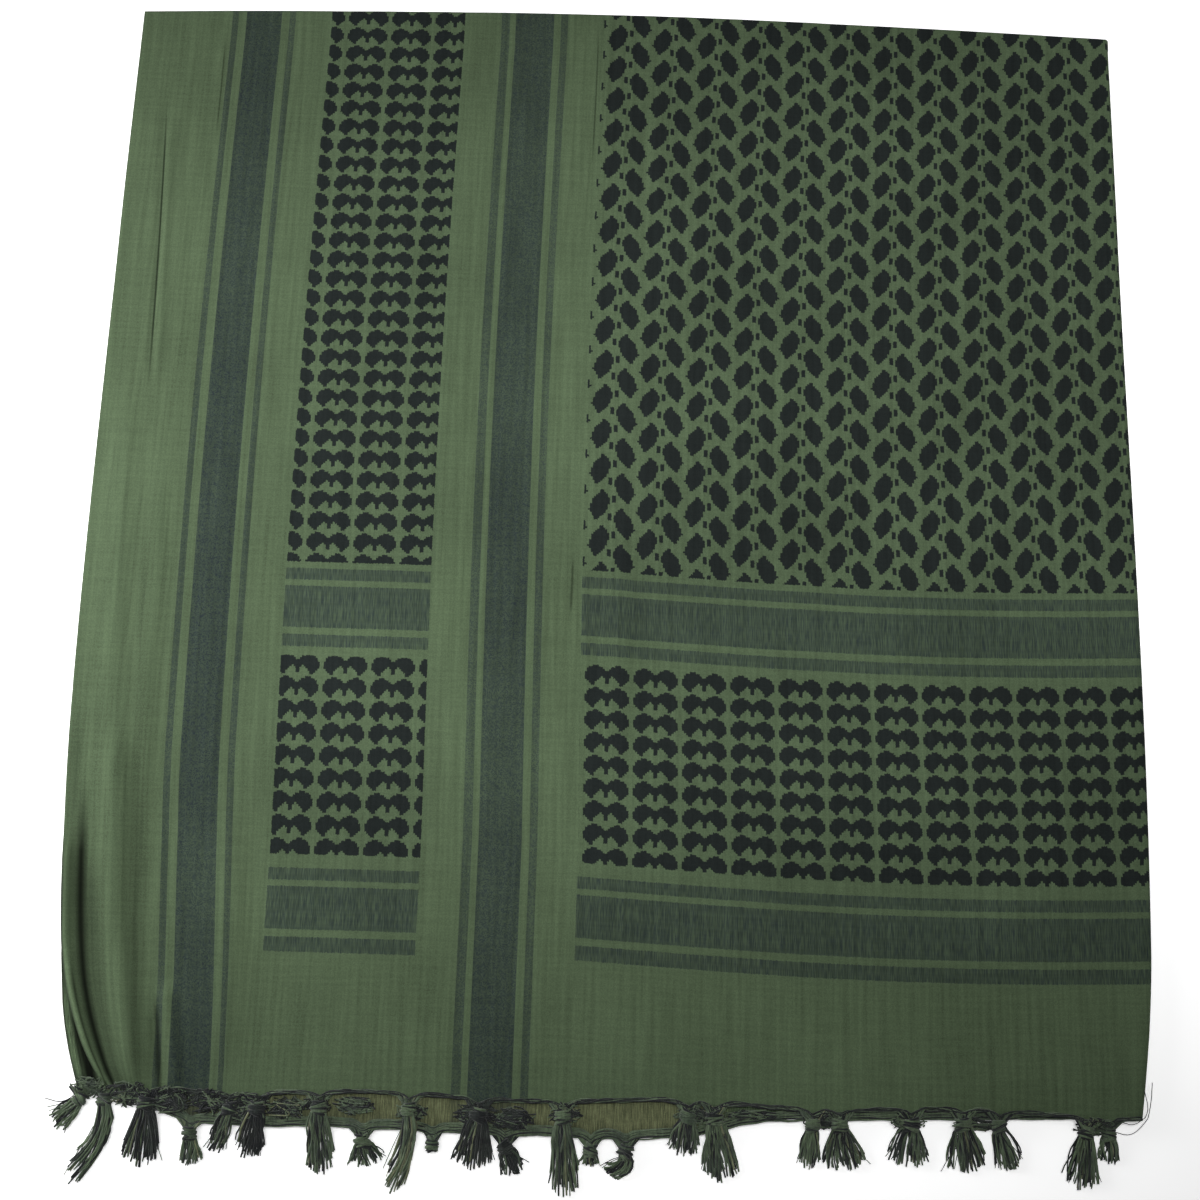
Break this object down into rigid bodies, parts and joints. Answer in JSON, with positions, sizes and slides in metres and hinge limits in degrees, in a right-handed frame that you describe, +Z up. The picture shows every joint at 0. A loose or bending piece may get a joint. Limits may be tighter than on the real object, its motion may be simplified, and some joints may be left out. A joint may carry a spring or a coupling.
{
  "type": "folded keffiyeh headscarf",
  "caption": "Square cotton keffiyeh headscarf folded in quarters and laid flat, with striped borders, a net field and a knotted fringe.",
  "frame": {"origin": "middle of the footprint of the folded cloth with its fringe, on the surface it lies on", "axes": "+X from the selvedges to the side fold, +Y from the fringe to the top fold, +Z up out of the cloth's face"},
  "size_m": [0.552, 0.6434, 0.0099],
  "materials": {
    "green_cloth": "matte woven cotton, olive green and black jacquard pattern",
    "under_cloth": "matte woven cotton, paler olive reverse",
    "heading": "matte twisted cotton yarn, dark green and black",
    "fringe": "matte loose cotton yarn, green and black"
  },
  "bodies": {
    "root": {"face_quarter": "green_cloth", "folded_layers": "under_cloth", "fringe_heading": "heading", "tassel_01": "fringe", "tassel_02": "fringe", "tassel_03": "fringe", "tassel_04": "fringe", "tassel_05": "fringe", "tassel_06": "fringe", "tassel_07": "fringe", "tassel_08": "fringe", "tassel_09": "fringe", "tassel_10": "fringe", "tassel_11": "fringe", "tassel_12": "fringe", "tassel_13": "fringe", "tassel_14": "fringe", "tassel_15": "fringe", "tassel_16": "fringe", "tassel_17": "fringe", "tassel_18": "fringe", "tassel_19": "fringe", "tassel_20": "fringe", "tassel_21": "fringe", "tassel_22": "fringe", "tassel_23": "fringe", "tassel_24": "fringe"}
  },
  "joints": []
}
